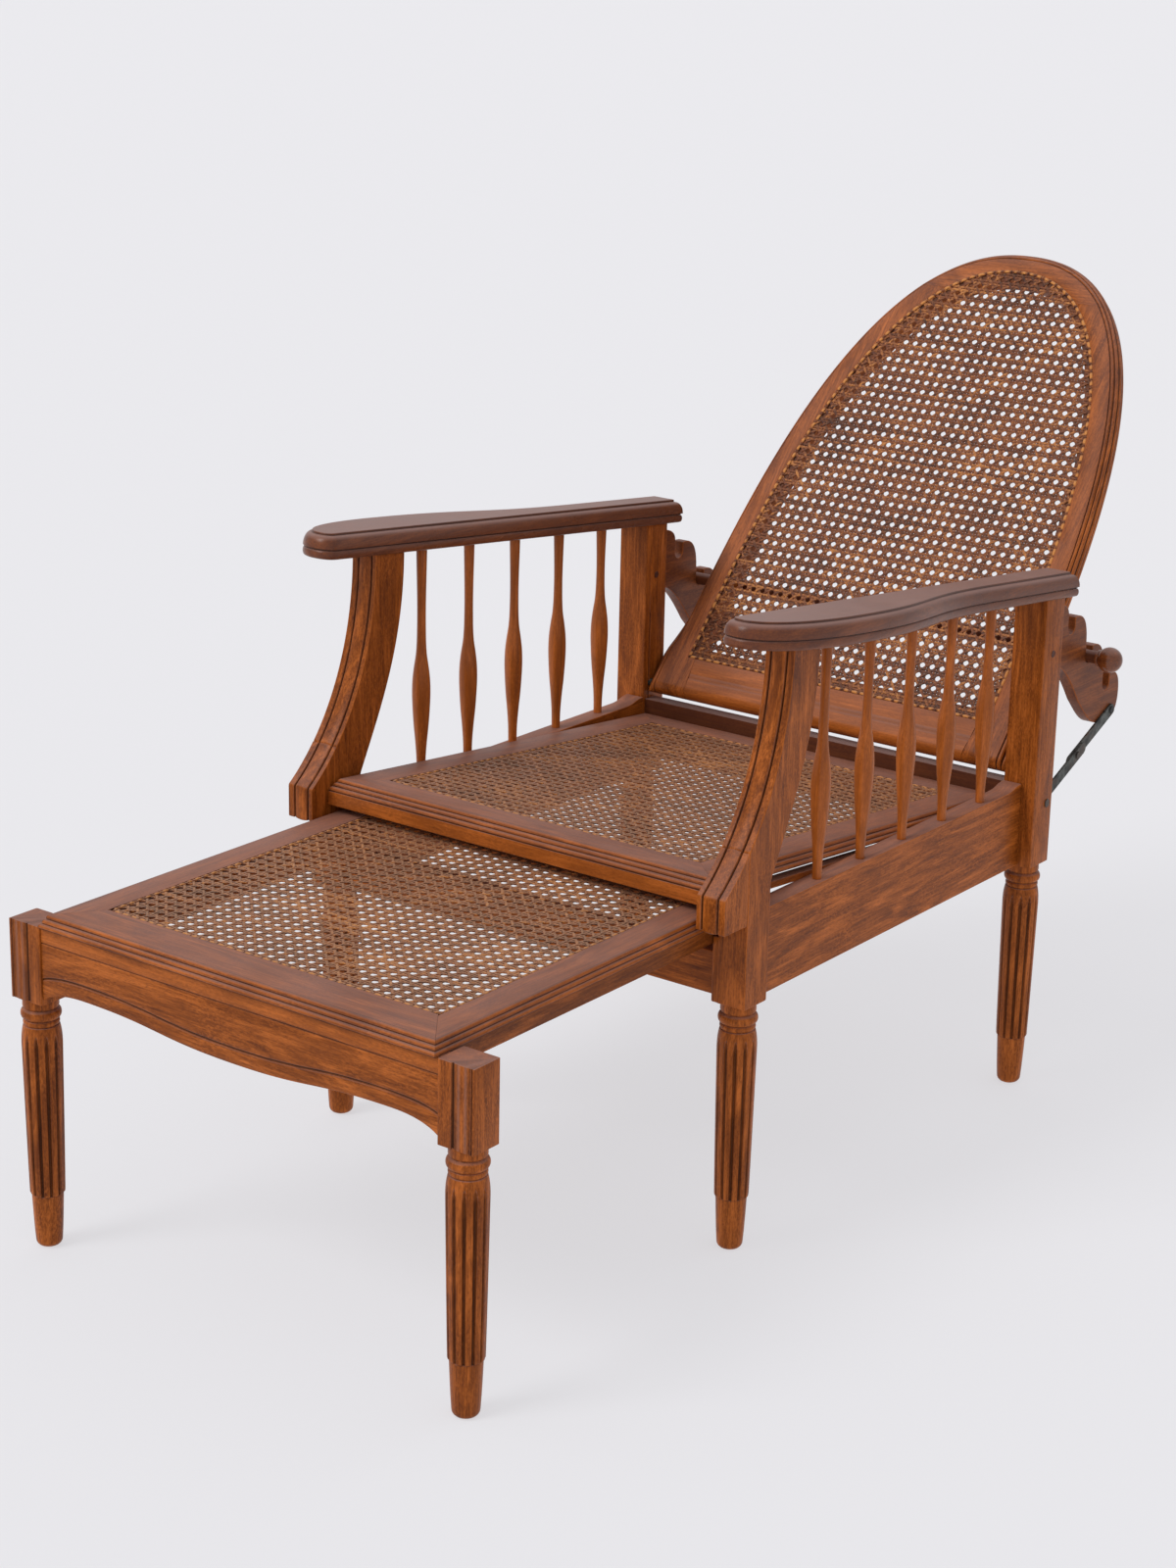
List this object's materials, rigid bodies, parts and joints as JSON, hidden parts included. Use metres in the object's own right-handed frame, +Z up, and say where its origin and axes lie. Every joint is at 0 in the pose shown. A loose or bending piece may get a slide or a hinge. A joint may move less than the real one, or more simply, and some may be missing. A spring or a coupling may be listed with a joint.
{
  "type": "reclining armchair with pull-out footrest",
  "caption": "Reclining wooden armchair with caned seat, back and pull-out footrest, fluted turned legs, open spindle sides and a notched rack behind for the rest bar",
  "frame": {"origin": "centre of the bounding box footprint, on the floor under the feet", "axes": "+Z up, -Y towards the footrest, +Y towards the reclined back, +X across to the chair's side that is nearer in the picture"},
  "size_m": [0.662, 1.4832, 0.9066],
  "materials": {
    "stained_beech": "walnut-stained and waxed hardwood, satin, worn lighter on edges",
    "peg_wood": "dark end grain",
    "cane": "woven rattan cane, aged honey brown, satin",
    "iron": "dull dark wrought strap with worn rivets"
  },
  "bodies": {
    "chair": {"arm_left": "stained_beech", "arm_right": "stained_beech", "arm_toe_left": "stained_beech", "arm_toe_right": "stained_beech", "back_pivot_pin_left": "iron", "back_pivot_pin_right": "iron", "footrest_guide_left": "stained_beech", "footrest_guide_right": "stained_beech", "front_leg_left": "stained_beech", "front_leg_right": "stained_beech", "front_rail": "stained_beech", "rack_bracket_left": "stained_beech", "rack_bracket_right": "stained_beech", "rack_peg_left": "peg_wood", "rack_peg_right": "peg_wood", "rear_leg_left": "stained_beech", "rear_leg_right": "stained_beech", "rear_rail": "stained_beech", "seat_bearer_left": "stained_beech", "seat_bearer_right": "stained_beech", "seat_cane": "cane", "seat_frame_front": "stained_beech", "seat_frame_left": "stained_beech", "seat_frame_rear": "stained_beech", "seat_frame_right": "stained_beech", "side_rail_left": "stained_beech", "side_rail_right": "stained_beech", "spindle_left_1": "stained_beech", "spindle_left_2": "stained_beech", "spindle_left_3": "stained_beech", "spindle_left_4": "stained_beech", "spindle_left_5": "stained_beech", "spindle_right_1": "stained_beech", "spindle_right_2": "stained_beech", "spindle_right_3": "stained_beech", "spindle_right_4": "stained_beech", "spindle_right_5": "stained_beech", "stay_bolt_left": "iron", "stay_bolt_right": "iron", "stay_lower_left": "iron", "stay_lower_right": "iron", "stay_upper_left": "iron", "stay_upper_right": "iron"},
    "footrest_axle": {"footrest_axle": "stained_beech"},
    "footrest": {"footrest_apron": "stained_beech", "footrest_cane": "cane", "footrest_frame_front": "stained_beech", "footrest_frame_left": "stained_beech", "footrest_frame_rear": "stained_beech", "footrest_frame_right": "stained_beech", "footrest_leg_left": "stained_beech", "footrest_leg_right": "stained_beech"},
    "backrest": {"back_bottom_rail": "stained_beech", "back_cane": "cane", "back_crest": "stained_beech", "back_stile_left": "stained_beech", "back_stile_right": "stained_beech"},
    "bar": {"rest_bar": "stained_beech", "bar_knob_left": "stained_beech", "bar_knob_right": "stained_beech"}
  },
  "joints": [
    {"name": "footrest_slide", "type": "slide", "parent": "chair", "child": "footrest_axle", "axis": [0, 0.9957, -0.0921], "range_m": [0, 0.398]},
    {"name": "footrest_tilt", "type": "hinge", "parent": "footrest_axle", "child": "footrest", "pos_m": [0, -0.24514, 0.352], "axis": [1, 0, 0], "range_deg": [-4.33, 0]},
    {"name": "back_recline", "type": "hinge", "parent": "chair", "child": "backrest", "pos_m": [0, 0.29186, 0.392], "axis": [1, 0, 0], "range_deg": [0, 125]},
    {"name": "rest_bar_roll", "type": "hinge", "parent": "chair", "child": "bar", "pos_m": [0, 0.41101, 0.50051], "axis": [1, 0, 0], "continuous": true}
  ],
  "couplings": [
    {"joint": "footrest_tilt", "follows": "footrest_slide", "rad_per_m": -0.1888}
  ]
}
